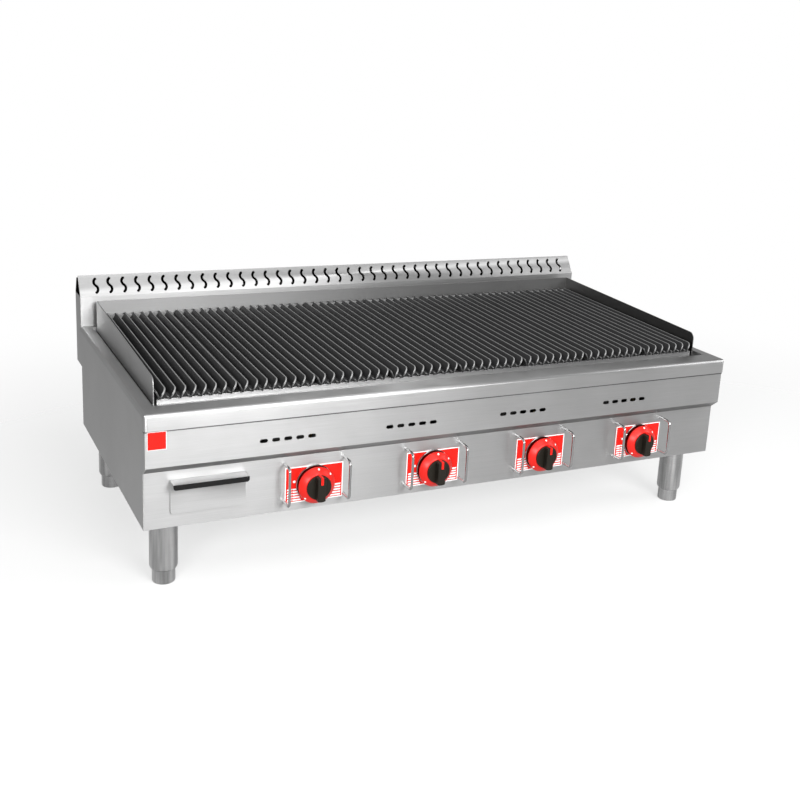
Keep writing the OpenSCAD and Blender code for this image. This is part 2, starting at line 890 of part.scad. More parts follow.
// Drawer front: a shallow pressed pan with a lip folded out at the top.
module drawer_front() {
    top = drawer_z0 + drawer_h;
    color(steel) placed() {
        difference() {
            along_y(drawer_face, step_back - 0.3) drawer_outline(0);
            along_y(pan_y0, step_back) drawer_outline(sheet);
        }
        span([drawer_x0, drawer_face - 21.5, top - sheet],
             [drawer_x0 + drawer_w, drawer_face + 1, top]);
    }
}

// Moulded grip along the drawer's lip.
module drawer_grip() {
    top = drawer_z0 + drawer_h;
    y0 = drawer_face - 21.5;
    color([0.06, 0.06, 0.06]) placed() {
        along_y(y0 - 2, y0) translate([drawer_x0, top]) mirror([0, 1])
            nosed(drawer_w, 9.5, 4.7, true);
        span([drawer_x0 + 8, y0 - 1, top - sheet - 2],
             [drawer_x0 + drawer_w - 8, y0 + 6, top - sheet]);
    }
}

// ---- Legs ----

function leg_places() =
    [for (x = [-leg_x, leg_x], y = [leg_front, leg_back]) [x, y]];

// Tube legs with a nut inside and a stud that fixes them to the base.
module leg_tubes() {
    taper = 8;
    socket_z1 = leg_z + 10;
    bore_r = leg_r - sheet;
    color(steel) placed() for (p = leg_places()) translate([p[0], p[1], 0]) {
        difference() {
            union() {
                rod_z(0, 0, leg_r, leg_z + taper, z_base);
                translate([0, 0, leg_z]) cylinder(h = taper, r1 = foot_r + 1.2, r2 = leg_r);
            }
            rod_z(0, 0, foot_r + 0.3, leg_z - 1, socket_z1);
            rod_z(0, 0, bore_r, socket_z1 - 1, leg_nut_z0);
            rod_z(0, 0, stud_r + fit_gap, leg_nut_z0 - 1, leg_nut_z1 + 1);
            rod_z(0, 0, bore_r, leg_nut_z1, z_base - 2 * sheet);
        }
        rod_z(0, 0, bolt_r, z_base - 1, z_base + bolt_len);
    }
}

// Plate and nut that hold each leg's stud inside the casing.
module leg_fixings() {
    z0 = pan_z + sheet;
    z1 = z0 + leg_pad_t;
    color(dark_steel) placed() for (p = leg_places()) translate([p[0], p[1], 0]) difference() {
        union() {
            span([-leg_pad_half, -leg_pad_half, z0], [leg_pad_half, leg_pad_half, z1]);
            translate([0, 0, z1]) cylinder(h = bolt_nut_h, r = 10, $fn = 6);
        }
        rod_z(0, 0, bolt_hole_r, z0 - 1, z1 + bolt_nut_h + 1);
    }
}

// Levelling foot: a steel cup on a stud that runs in the leg's nut.
module foot(i) {
    p = leg_places()[i - 1];
    color("gray") placed() translate([p[0], p[1], 0]) {
        cylinder(h = foot_edge, r1 = foot_r - foot_edge, r2 = foot_r);
        rod_z(0, 0, foot_r, foot_edge, foot_z);
        rod_z(0, 0, stud_r, foot_z - 1, stud_z);
    }
}

top_frame();
left_side_panel();
right_side_panel();
upper_front_panel();
control_panel();
rear_panel();
base_pan();
flue_front();
flue_back();
flue_hood();
flue_end_caps();
splash_guard();
firebox();
firebox_back();
firebox_back_rail();
grate_rests();
burner(1);  // burner_1
burner(2);  // burner_2
burner(3);  // burner_3
burner(4);  // burner_4
radiants();
drip_tray();
gas_manifold();
gas_valves();
burner_feed_pipes();
control_plates();
knob_bezels();
knob_wire_guards();
leg_tubes();
leg_fixings();
badge();
casing_screws();
drawer_runners();
grate(1);  // grate_1
grate(2);  // grate_2
grate(3);  // grate_3
grate(4);  // grate_4
grate(5);  // grate_5
grate(6);  // grate_6
grate(7);  // grate_7
grate(8);  // grate_8
valve_spindle(1);  // valve_spindle_1
valve_spindle(2);  // valve_spindle_2
valve_spindle(3);  // valve_spindle_3
valve_spindle(4);  // valve_spindle_4
knob_grip(1);  // knob_grip_1
knob_grip(2);  // knob_grip_2
knob_grip(3);  // knob_grip_3
knob_grip(4);  // knob_grip_4
knob_skirt(1);  // knob_skirt_1
knob_skirt(2);  // knob_skirt_2
knob_skirt(3);  // knob_skirt_3
knob_skirt(4);  // knob_skirt_4
foot(1);  // foot_1
foot(2);  // foot_2
foot(3);  // foot_3
foot(4);  // foot_4
grease_drawer();
drawer_front();
drawer_grip();
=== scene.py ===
import json
import math
import bmesh
import bpy
from mathutils import Matrix, Vector


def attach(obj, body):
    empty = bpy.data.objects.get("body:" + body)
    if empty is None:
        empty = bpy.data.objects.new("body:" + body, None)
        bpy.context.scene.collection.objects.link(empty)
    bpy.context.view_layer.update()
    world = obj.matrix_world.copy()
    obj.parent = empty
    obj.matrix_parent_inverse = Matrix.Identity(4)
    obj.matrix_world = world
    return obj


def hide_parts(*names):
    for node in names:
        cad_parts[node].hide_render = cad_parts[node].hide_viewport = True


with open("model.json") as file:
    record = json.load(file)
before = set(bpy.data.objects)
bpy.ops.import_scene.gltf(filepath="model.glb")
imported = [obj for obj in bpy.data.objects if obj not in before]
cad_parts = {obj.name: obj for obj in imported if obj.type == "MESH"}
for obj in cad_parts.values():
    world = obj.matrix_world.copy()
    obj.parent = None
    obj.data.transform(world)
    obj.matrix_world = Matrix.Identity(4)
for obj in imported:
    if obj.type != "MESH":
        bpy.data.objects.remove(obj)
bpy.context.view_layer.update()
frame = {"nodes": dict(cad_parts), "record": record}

MM = 0.001
Y_MID = 310.5          # the CAD is drawn from the front panel's face, then centred
CASING_D = 587.0
APRON_X = 606.9        # half the width over the painted shadow strip below the apron
Z_APRON = 309.3        # just inside the apron's lower edge
STEP = 18.5            # set-back of the control panel
BURNER_PITCH = 239.0
KNOB_SHIFT = 57.5      # how far each knob is to the right of its burner
KNOB_Z = 173.0
KNOBS = [(i - 1.5) * BURNER_PITCH + KNOB_SHIFT for i in range(4)]
LEGS = [(-560, 72.5), (-560, 536), (560, 72.5), (560, 536)]

body_of = {n: b for b, ns in frame["record"]["behaviour"]["bodies"].items() for n in ns}
slot_of = {s["node"]: s["material_slot"] for s in frame["record"]["subparts"]}


def at(x, y, z):
    """A point given in millimetres from the front panel's face, in the row frame."""
    return Vector((x * MM, (y - Y_MID) * MM, z * MM))


# ---- materials ----

def scaled(color, k):
    return tuple(k * c for c in color)


def shader(name, color, metallic, roughness):
    mat = bpy.data.materials.new(name)
    mat.use_nodes = True
    bsdf = mat.node_tree.nodes["Principled BSDF"]
    bsdf.inputs["Base Color"].default_value = (*color, 1)
    bsdf.inputs["Metallic"].default_value = metallic
    bsdf.inputs["Roughness"].default_value = roughness
    return mat, mat.node_tree, bsdf


def noise(tree, stretch, scale, detail, rough):
    """Noise laid over the object's own coordinates, stretched along each axis."""
    coord = tree.nodes.new("ShaderNodeTexCoord")
    mapping = tree.nodes.new("ShaderNodeMapping")
    mapping.inputs["Scale"].default_value = stretch
    tex = tree.nodes.new("ShaderNodeTexNoise")
    tex.inputs["Scale"].default_value = scale
    tex.inputs["Detail"].default_value = detail
    tex.inputs["Roughness"].default_value = rough
    tree.links.new(coord.outputs["Object"], mapping.inputs["Vector"])
    tree.links.new(mapping.outputs["Vector"], tex.inputs["Vector"])
    return tex.outputs["Fac"]


def ramp(tree, fac, low, high):
    """Runs between two stops of (position, colour)."""
    node = tree.nodes.new("ShaderNodeValToRGB")
    for element, (position, color) in zip(node.color_ramp.elements, (low, high)):
        element.position = position
        element.color = (*color, 1)
    tree.links.new(fac, node.inputs["Fac"])
    return node.outputs["Color"]


def spread(tree, fac, low, high):
    """Stretches the middle of a noise over low to high."""
    node = tree.nodes.new("ShaderNodeMapRange")
    node.inputs["From Min"].default_value = 0.3
    node.inputs["From Max"].default_value = 0.7
    node.inputs["To Min"].default_value = low
    node.inputs["To Max"].default_value = high
    tree.links.new(fac, node.inputs["Value"])
    return node.outputs["Result"]


def bump(tree, bsdf, height, strength, distance):
    node = tree.nodes.new("ShaderNodeBump")
    node.inputs["Strength"].default_value = strength
    node.inputs["Distance"].default_value = distance
    tree.links.new(height, node.inputs["Height"])
    tree.links.new(node.outputs["Normal"], bsdf.inputs["Normal"])


def mixed(tree, fac, a, b):
    node = tree.nodes.new("ShaderNodeMix")
    node.data_type = "RGBA"
    tree.links.new(fac, node.inputs["Factor"])
    tree.links.new(a, node.inputs["A"])
    tree.links.new(b, node.inputs["B"])
    return node.outputs["Result"]


def mesh_value(tree, name):
    """Reads a value stored on the mesh, face by face or point by point."""
    node = tree.nodes.new("ShaderNodeAttribute")
    node.attribute_name = name
    return node.outputs["Fac"]


def brushed(name, grain, light=0.53, dark=0.46, rough=(0.36, 0.46), tint=(1, 1, 1), stretched=0.8,
            smear=((1, 1, 1), 9.0, 0.92)):
    """Brushed metal: fine grain, cloudy smears, and dark painted shade (soot in the flue) where "shade" is
    set.

    smear is the smears' stretch, their scale and how much of the light they leave.

    The grain runs level round upright sheets ("level") or along the Y or Z axis.
    """
    mat, tree, bsdf = shader(name, scaled(tint, light), 1.0, 0.4)
    stretch = {"level": (12, 12, 2400), "y": (2400, 12, 2400), "z": (2400, 2400, 12)}[grain]
    smear_stretch, smear_scale, left = smear
    lines = noise(tree, stretch, 1.0, 3.0, 0.6)
    cloud = noise(tree, smear_stretch, smear_scale, 3.0, 0.5)
    fine = ramp(tree, lines, (0.3, scaled(tint, dark)), (0.7, scaled(tint, light)))
    worn = ramp(tree, lines, (0.3, scaled(tint, dark * left)), (0.7, scaled(tint, light * left)))
    # painted shade: this soot-dark colour stands for shadow and dark reflections where "shade" is set, and
    # for soot in the flue
    soot_and_painted_shade = ramp(tree, cloud, (0.3, (0.012, 0.011, 0.010)), (0.7, (0.030, 0.028, 0.026)))
    metal = mixed(tree, spread(tree, cloud, 0, 1), fine, worn)
    tree.links.new(mixed(tree, mesh_value(tree, "shade"), metal, soot_and_painted_shade), bsdf.inputs["Base Color"])
    tree.links.new(spread(tree, lines, *rough), bsdf.inputs["Roughness"])
    tangent = tree.nodes.new("ShaderNodeTangent")
    tangent.direction_type = "RADIAL"
    tangent.axis = "Z" if grain == "level" else grain.upper()
    tree.links.new(tangent.outputs["Tangent"], bsdf.inputs["Tangent"])
    bsdf.inputs["Anisotropic Rotation"].default_value = 0.25 if grain == "level" else 0.0
    bsdf.inputs["Anisotropic"].default_value = stretched
    bump(tree, bsdf, lines, 0.05, 0.0001)
    return mat


def iron(name, dark, light, rough, wear=False):
    """Cast iron: fine sand-cast grain and cloudy seasoning, and bare metal where "wear" is set."""
    mat, tree, bsdf = shader(name, dark, 0.35, rough)
    grain = noise(tree, (1, 1, 1), 900.0, 4.0, 0.6)
    cloud = noise(tree, (1, 1, 1), 14.0, 3.0, 0.6)
    dry = ramp(tree, grain, (0.35, dark), (0.7, light))
    oiled = ramp(tree, grain, (0.35, scaled(dark, 0.6)), (0.7, scaled(light, 0.75)))
    color = mixed(tree, cloud, dry, oiled)
    if wear:
        bare = ramp(tree, grain, (0.3, (0.20, 0.20, 0.20)), (0.75, (0.38, 0.38, 0.38)))
        color = mixed(tree, mesh_value(tree, "wear"), color, bare)
    tree.links.new(color, bsdf.inputs["Base Color"])
    tree.links.new(spread(tree, grain, rough - 0.08, rough + 0.1), bsdf.inputs["Roughness"])
    bump(tree, bsdf, grain, 0.35, 0.0004)
    return mat


def moulded(name, color, rough, speck=1400.0, strength=0.12, gloss=0.5):
    """Moulded plastic or enamel: even colour, faint mottling and a fine surface texture."""
    mat, tree, bsdf = shader(name, color, 0.0, rough)
    fine = noise(tree, (1, 1, 1), speck, 2.0, 0.5)
    cloud = noise(tree, (1, 1, 1), 30.0, 2.0, 0.5)
    tree.links.new(ramp(tree, cloud, (0.3, scaled(color, 0.9)), (0.7, color)), bsdf.inputs["Base Color"])
    tree.links.new(spread(tree, fine, rough - 0.04, rough + 0.06), bsdf.inputs["Roughness"])
    bsdf.inputs["Specular IOR Level"].default_value = gloss
    bump(tree, bsdf, fine, strength, 0.0001)
    return mat


steel = brushed("steel_level_grain", "level")
turned = brushed("turned_steel", "level", 0.74, 0.62, (0.17, 0.27), stretched=0.7,
                 smear=((1, 1, 0.07), 75.0, 0.42))
chrome = brushed("polished_chrome", "z", 0.46, 0.36, (0.06, 0.10), stretched=0.0)
heated = brushed("heat_stained_steel", "y", 0.20, 0.12, (0.42, 0.55))
burner_iron = iron("burner_cast_iron", (0.05, 0.048, 0.045), (0.10, 0.095, 0.09), 0.65)
grate_iron = iron("grate_cast_iron", (0.015, 0.015, 0.016), (0.035, 0.035, 0.036), 0.53, True)
pipe_black = iron("black_pipe_paint", (0.03, 0.03, 0.03), (0.06, 0.06, 0.06), 0.5)
brass = brushed("turned_brass", "y", 0.78, 0.66, (0.25, 0.35), (1, 0.74, 0.36), 0.3)
red_enamel = moulded("red_enamel", (0.72, 0.012, 0.007), 0.30, gloss=0.2)
red_plastic = moulded("red_plastic", (0.62, 0.013, 0.008), 0.34, gloss=0.3)
black_plastic = moulded("black_plastic", (0.012, 0.010, 0.007), 0.42, 1100.0, 0.25, 0.2)
black_rubber = moulded("black_rubber", (0.008, 0.008, 0.008), 0.5, 1100.0, 0.2, 0.15)
print_white = moulded("white_print", (0.86, 0.88, 0.88), 0.4)

by_slot = {"stainless_steel": steel, "heat_stained_steel": heated, "cast_iron": burner_iron,
           "grate_iron": grate_iron, "black_pipe": pipe_black, "brass": brass,
           "red_enamel": red_enamel, "chrome": chrome, "black_plastic": black_plastic,
           "red_plastic": red_plastic, "foot_steel": turned}


# ---- pieces ----

def new_piece(name, mesh, mat, body, replaces):
    """Puts a mesh in the scene, riding on a body, in place of the CAD nodes it replaces."""
    obj = bpy.data.objects.new(name, mesh)
    bpy.context.scene.collection.objects.link(obj)
    mesh.materials.clear()
    mesh.materials.append(mat)
    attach(obj, body)
    if replaces:
        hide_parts(*replaces)
    return obj


def bevelled(obj, width, segments=2, angle=30):
    """Eases the edges sharper than angle degrees, by width in millimetres."""
    mod = obj.modifiers.new("edge", "BEVEL")
    mod.width = width * MM
    mod.segments = segments
    mod.limit_method = "ANGLE"
    mod.angle_limit = math.radians(angle)
    mod.harden_normals = True


def smooth(mesh, angle=32):
    for p in mesh.polygons:
        p.use_smooth = True
    mesh.set_sharp_from_angle(angle=math.radians(angle))


def dressed(node, mat=None, width=0.35, shade=None):
    """A copy of a CAD node with its coplanar facets joined and its edges eased.

    shade(centre, normal) says how much painted shade each face gets, centre in millimetres from the front
    panel.
    """
    mesh = frame["nodes"][node].data.copy()
    bm = bmesh.new()
    bm.from_mesh(mesh)
    bmesh.ops.remove_doubles(bm, verts=bm.verts, dist=1e-6)
    bmesh.ops.dissolve_limit(bm, angle_limit=math.radians(0.4), verts=bm.verts, edges=bm.edges)
    bm.to_mesh(mesh)
    bm.free()
    smooth(mesh)
    # painted shade: each face's darkness is stored for the steel shader to mix in
    if shade:
        layer = mesh.attributes.new("shade", "FLOAT", "FACE")
        for p in mesh.polygons:
            c = p.center / MM
            layer.data[p.index].value = shade(Vector((c.x, c.y + Y_MID, c.z)), p.normal)
    obj = new_piece(node + "_finished", mesh, mat or by_slot[slot_of[node]],
                    body_of[node], [node])
    if width:
        bevelled(obj, width)


def built(name, bm, mat, body, replaces=(), angle=32):
    """A piece from a bmesh, shaded smooth across edges up to angle degrees."""
    bmesh.ops.recalc_face_normals(bm, faces=bm.faces)
    mesh = bpy.data.meshes.new(name + "_mesh")
    bm.to_mesh(mesh)
    bm.free()
    smooth(mesh, angle)
    return new_piece(name, mesh, mat, body, replaces)


def lathe(bm, profile, centre, along, steps=72, closed=False):
    """Turns a profile of (radius, distance) about an axis through centre."""
    turn = Vector((0, 0, 1)).rotation_difference(Vector(along)).to_matrix()
    rings = []
    for r, h in profile:
        if r <= 0:
            rings.append([bm.verts.new(centre + turn @ Vector((0, 0, h * MM)))])
            continue
        rings.append([bm.verts.new(centre + turn @ Vector((
            r * MM * math.cos(2 * math.pi * k / steps),
            r * MM * math.sin(2 * math.pi * k / steps), h * MM))) for k in range(steps)])
    pairs = list(zip(rings, rings[1:])) + ([(rings[-1], rings[0])] if closed else [])
    for a, b in pairs:
        for k in range(steps):
            n = (k + 1) % steps
            quad = [a[k % len(a)], a[n % len(a)], b[n % len(b)], b[k % len(b)]]
            quad = [v for i, v in enumerate(quad) if v not in quad[:i]]
            if len(quad) > 2:
                bm.faces.new(quad)


def prism(bm, outline, place, depth):
    """Extrudes an outline of (across, up) points by depth along the direction place gives.

    Returns its vertices.
    """
    a = [bm.verts.new(place(u, v, 0)) for u, v in outline]
    b = [bm.verts.new(place(u, v, depth)) for u, v in outline]
    bm.faces.new(a)
    bm.faces.new(b[::-1])
    for k in range(len(a)):
        n = (k + 1) % len(a)
        bm.faces.new([a[k], b[k], b[n], a[n]])
    return a + b


def swept(bm, rings):
    """Joins closed rings of vertices into a tube with flat ends."""
    for a, b in zip(rings, rings[1:]):
        for k in range(len(a)):
            n = (k + 1) % len(a)
            bm.faces.new([a[k], a[n], b[n], b[k]])
    bm.faces.new(rings[0][::-1])
    bm.faces.new(rings[-1])


def rearward(y0):
    """A place for prism: across is X, up is Z, and depth runs to the rear from y0."""
    return lambda u, v, d: at(u, y0 + d, v)


# ---- casing ----

def inside_duct(c, n):
    """Soot and painted shade on the faces that look into the flue duct."""
    return 1.0 if c.y > CASING_D - 0.1 and (n.y < -0.5 or (n.z > 0.5 and c.z < 260)) else 0.0


def painted_shade_behind_and_chamfer(c, n):
    """Painted shade on the faces behind the upper front panel, and half painted shade on the folded chamfer
    below it.
    """
    return 0.5 if n.z < -0.5 and n.y < -0.3 else float(n.y > 0.5)


def guard_painted_shade(c, n):
    """Painted shade inside the right side of the guard, and a little on its front edges to dim their
    highlight.
    """
    return 0.8 if n.x < -0.5 and c.x > 0 else 0.4 * float(n.y < -0.5)


def casing():
    for node, mat in {"top_frame": steel, "left_side_panel": steel, "right_side_panel": steel,
                      "control_panel": steel, "base_pan": steel,
                      "drip_tray": steel, "drawer_front": steel, "grease_drawer": steel,
                      "grate_rests": steel, "firebox": heated, "firebox_back": heated,
                      "firebox_back_rail": heated, "drawer_runners": heated, "radiants": heated,
                      "leg_fixings": heated, "casing_screws": heated, "gas_valves": brass}.items():
        dressed(node, mat)
    for node in ("gas_manifold", "burner_feed_pipes", "burner_1", "burner_2", "burner_3", "burner_4"):
        dressed(node, width=0)
    # painted shade behind the upper front panel and on its chamfer
    dressed("upper_front_panel", steel, shade=painted_shade_behind_and_chamfer)
    # soot and painted shade on the faces inside the flue duct and its hood, here and on flue_front,
    # rear_panel, flue_hood and flue_end_caps
    dressed("flue_back", steel, shade=inside_duct)
    dressed("flue_front", steel, width=0, shade=lambda c, n: float(n.y > 0.3))
    dressed("rear_panel", steel, shade=lambda c, n: float(n.y > 0.5 and c.z > 251) * 0.6)
    # painted shade on the guard's right inner face and front edges
    dressed("splash_guard", steel, shade=guard_painted_shade)
    dressed("flue_hood", steel, shade=lambda c, n: float(n.y < -0.3))
    dressed("flue_end_caps", steel, shade=lambda c, n: float(c.x * n.x < 0 and abs(n.x) > 0.5))


def apron_shadow_strip():
    """A dark strip of painted shade for the shadow line below the rim's apron, along the front and both
    sides.
    """
    bm = bmesh.new()
    for x0, x1, y0, y1, z in ((-APRON_X, APRON_X, -0.5, 0.2, 306),
                              (-APRON_X, -606.2, 0.2, CASING_D, 304),
                              (606.2, APRON_X, 0.2, CASING_D, 304)):
        prism(bm, [(x0, z), (x1, z), (x1, Z_APRON), (x0, Z_APRON)], rearward(y0), y1 - y0)
    # painted shade: a dark strip standing for the apron's shadow line
    built("apron_shadow_strip", bm, heated, "casing")


def guard_shadow_strip():
    """A dark strip of painted shade for the shadow gap where the guard's sides stand on the recess floor."""
    bm = bmesh.new()
    for x0, x1 in ((-578.5, -577.4), (577.4, 578.5)):
        prism(bm, [(x0, 330.9), (x1, 330.9), (x1, 332.4), (x0, 332.0)], rearward(66.5), 500)
    # painted shade: a black strip standing for the guard's shadow gap
    built("guard_shadow_strip", bm, black_rubber, "casing")


# ---- grates ----
GRATES = 8
SECTION_PITCH, RIB_PITCH, GRATE_LEN, GRATE_Y, GRATE_Z = 145.2, 17.8, 500.0, 60.0, 341.0
FIRST_GRATE_X = -575.6
FIRST_RIB = 8.3
RIB_T, LIP_T = 3.4, 2.6
TIP = (10.0, 16.0)      # from a rib's foot to its top edge
LIP = (-5.0, 3.6)       # from a rib's foot to the edge of the lip beside it
END_LIP = (-6.2, 13.5)  # the taller lip that ends a section
CROSSBARS = 4
SLOPE = math.radians(1.3)


def grate_place(i):
    """Places a point of section i, measured from its own corner, on the sloping grate."""
    x0 = FIRST_GRATE_X + i * SECTION_PITCH
    c, s = math.cos(SLOPE), math.sin(SLOPE)
    return lambda x, y, z: at(x0 + x, GRATE_Y + y * c - z * s, GRATE_Z + y * s + z * c)


def blade(bm, wear, place, foot, reach, thick, nose, bare=1.0):
    """A bar leaning from foot by reach, with its top corner rounded at the front end.

    bare is how worn its top edge is.
    """
    length = math.hypot(*reach)
    ux, uz = reach[0] / length, reach[1] / length
    r = thick / 2
    stations = [nose * (1 - math.cos(math.radians(a))) for a in range(0, 91, 15)]
    stations += [160, 330, GRATE_LEN - 2, GRATE_LEN]
    rings = []
    for y in stations:
        top = length
        if y < nose:
            top = length - nose + math.sqrt(max(nose ** 2 - (nose - y) ** 2, 0))
        if y == GRATE_LEN:
            top = length - 1.5
        ring = []
        for a in range(-90, 91, 30):
            ring.append((top + r * math.cos(math.radians(a)), r * math.sin(math.radians(a))))
        for a in range(90, 271, 45):
            ring.append((r * math.cos(math.radians(a)), r * math.sin(math.radians(a))))
        verts = []
        for s, t in ring:
            v = bm.verts.new(place(foot[0] + ux * s + uz * t, y, foot[1] + uz * s - ux * t))
            v[wear] = bare * max(0.0, min(1.0, (s - top - 0.1 * r) / (0.5 * r))) if s > 0 else 0.0
            verts.append(v)
        rings.append(verts)
    swept(bm, rings)


def grate(i):
    """Section i: leaning ribs with a lip beside each, bars below and a web at the rear."""
    ribs = 7 if i == GRATES - 1 else 8
    last_rib = FIRST_RIB + (ribs - 1) * RIB_PITCH
    place = grate_place(i)
    bm = bmesh.new()
    wear = bm.verts.layers.float.new("wear")
    for k in range(ribs):
        foot = (FIRST_RIB + k * RIB_PITCH, RIB_T / 2)
        blade(bm, wear, place, foot, TIP, RIB_T, 11.0)
        blade(bm, wear, place, foot, LIP if k else END_LIP, LIP_T, 3.0, 0.3)
    bar_end = 12 + (ribs - 1) * RIB_PITCH
    for j in range(CROSSBARS):
        y0 = 6 + j * (GRATE_LEN - 26) / (CROSSBARS - 1)
        prism(bm, [(5, 0.2), (bar_end, 0.2), (bar_end, 6), (5, 6)],
              lambda u, v, d: place(u, y0 + d, v), 14)
    low, high = RIB_T / 2, RIB_T / 2 + TIP[1] * 0.9
    lean = TIP[0] * 0.9
    web = prism(bm, [(FIRST_RIB, low), (last_rib, low), (last_rib + lean, high), (FIRST_RIB + lean, high)],
                lambda u, v, d: place(u, GRATE_LEN - 5 + d, v), 3)
    # The whole web gets the light bare-metal colour all over, so it shows lighter than the iron around it.
    for v in web:
        v[wear] = 1.0
    built(f"grate_{i + 1}_casting", bm, grate_iron, f"grate_section_{i + 1}",
          [f"grate_{i + 1}"], 40)


# ---- controls ----
GRIP_R, BAR_HALF, BAR_FRONT = 23.0, 7.5, -23.0
PLATE_FACE, PLATE_HALF_W, PLATE_HALF_H = STEP - 0.8, 55.5, 34.0
BADGE_X, BADGE_Z = (-603, -571.0), (275.5, 307.5)
WIRE_R, WIRE_BEND, WIRE_X = 2.5, 8.0, 57
WIRE_FRONT, WIRE_LOW, WIRE_HIGH = STEP - 31.0, KNOB_Z - 28.5, KNOB_Z + 43.0
FORWARD = (0, -1, 0)
REARWARD = (0, 1, 0)


def knob_skirt(i, x):
    bm = bmesh.new()
    lathe(bm, [(8.3, -6), (23.6, -6), (24.4, -5.8), (25.2, -5.3), (34.0, 2.6), (34.5, 3.4), (34.5, 5.1),
               (34.1, 5.5), (32.3, 5.5), (32.3, 3.6), (23.6, -3.8), (8.3, -3.8)],
          at(x, 0, KNOB_Z), REARWARD, closed=True)
    built(f"knob_skirt_{i}_moulding", bm, red_plastic, f"knob_{i}", [f"knob_skirt_{i}"], 40)


def knob_pointer(i, x):
    """The skirt's pointer: it runs forward over the grip and turns down its front."""
    front = BAR_FRONT - 1
    bm = bmesh.new()
    prism(bm, [(-5, 24.2), (front, 24.2), (front, 10), (BAR_FRONT, 10), (BAR_FRONT, 23.0), (-5, 23.0)],
          lambda u, v, d: at(x - 2.4 + d, u, KNOB_Z + v), 4.8)
    bevelled(built(f"knob_pointer_{i}", bm, red_enamel, f"knob_{i}"), 0.4, 3)


def knob_dots(i, x):
    """Three printed dots on the skirt's slope."""
    for n, clockwise in enumerate((3, 50, 227), 1):
        a = math.radians(clockwise)
        out = Vector((math.sin(a), 0, math.cos(a)))
        normal = (out * 0.7 + Vector(FORWARD) * 0.72).normalized()
        base = at(x, 0, KNOB_Z) + out * 31.5 * MM + Vector((0, 0.26 * MM, 0))
        bm = bmesh.new()
        lathe(bm, [(0, -0.15), (1.9, -0.15), (1.9, 0.12), (1.6, 0.26), (0, 0.30)], base, normal, 24)
        built(f"knob_dot_{i}_{n}", bm, print_white, f"knob_{i}", angle=40)


def knob_grip(i, x):
    """A round base, and a bar across it."""
    bm = bmesh.new()
    lathe(bm, [(4.05, 5.4), (8, 5.4), (8, -6), (22.4, -6), (GRIP_R, -6.6), (GRIP_R, -9.2), (22.2, -10),
               (4.05, -10)], at(x, 0, KNOB_Z), REARWARD, closed=True)
    built(f"knob_grip_{i}_base", bm, black_plastic, f"knob_{i}", [f"knob_grip_{i}"], 40)
    half_angle = math.asin(BAR_HALF / GRIP_R)
    top = [(GRIP_R * math.sin(a), GRIP_R * math.cos(a)) for a in
           [half_angle * (2 * k / 8 - 1) for k in range(9)]]
    bm = bmesh.new()
    prism(bm, top + [(-u, -v) for u, v in top], lambda u, v, d: at(x + u, BAR_FRONT + d, KNOB_Z + v), 14.5)
    bevelled(built(f"knob_grip_{i}_bar", bm, black_plastic, f"knob_{i}"), 1.4, 4, 40)


def bezels():
    bm = bmesh.new()
    for x in KNOBS:
        lathe(bm, [(9, 17.7), (34.4, 17.7), (34.8, 17.3), (34.8, 14.4), (34.2, 13.7), (30.8, 13.7),
                   (29.8, 16.7), (9, 16.7)], at(x, 0, KNOB_Z), REARWARD, 96, True)
    built("knob_bezels_polished", bm, chrome, "casing", ["knob_bezels"], 40)


def printed(bm, x0, z0, x1, z1, face, slant=0.0):
    """A thin printed strip on a plate's face, its ends slanted by that many millimetres."""
    prism(bm, [(x0, z0), (x1, z0), (x1 + slant, z1), (x0 + slant, z1)],
          lambda u, v, d: at(u, face - d, v), 0.12)


def framed(bm, x0, z0, x1, z1, face, line):
    """A printed border, line wide, just inside a rectangle."""
    printed(bm, x0, z0, x1, z0 + line, face)
    printed(bm, x0, z1 - line, x1, z1, face)
    printed(bm, x0, z0 + line, x0 + line, z1 - line, face)
    printed(bm, x1 - line, z0 + line, x1, z1 - line, face)


def plate_print():
    """Plain borders on the plates and the badge, and a dot and stripes round each knob."""
    bm = bmesh.new()
    low = KNOB_Z - PLATE_HALF_H
    for x in KNOBS:
        left, right = x - PLATE_HALF_W, x + PLATE_HALF_W
        framed(bm, left, low, right, KNOB_Z + PLATE_HALF_H, PLATE_FACE, 1.9)
        for n in range(5):
            z = low + 3.6 + n * 5.1
            gap = 24.5 + 2.2 * n
            printed(bm, left + 4, z, left + 12.5, z + 2.8, PLATE_FACE, 1.6)
            printed(bm, left + 15.5, z, x - gap, z + 2.8, PLATE_FACE, -1.6)
            printed(bm, x + gap, z, right - 5, z + 2.8, PLATE_FACE, 1.6)
        lathe(bm, [(0, 0), (2.4, 0), (2.4, 0.12), (0, 0.14)], at(x - 38, PLATE_FACE, KNOB_Z + 6), FORWARD, 28)
    framed(bm, BADGE_X[0], BADGE_Z[0], BADGE_X[1], BADGE_Z[1], -0.8, 0.7)
    built("plate_print", bm, print_white, "casing")


def wire_path():
    """The guard wire's (y, z) centre line, out of the panel, down and back into it."""
    turn = [math.radians(a) for a in range(0, 91, 9)]
    y, b = WIRE_FRONT + WIRE_BEND, WIRE_BEND
    upper = [(y - b * math.sin(a), WIRE_HIGH - b + b * math.cos(a)) for a in turn]
    lower = [(y - b * math.cos(a), WIRE_LOW + b - b * math.sin(a)) for a in turn]
    return [(STEP, WIRE_HIGH)] + upper + lower + [(STEP, WIRE_LOW)]


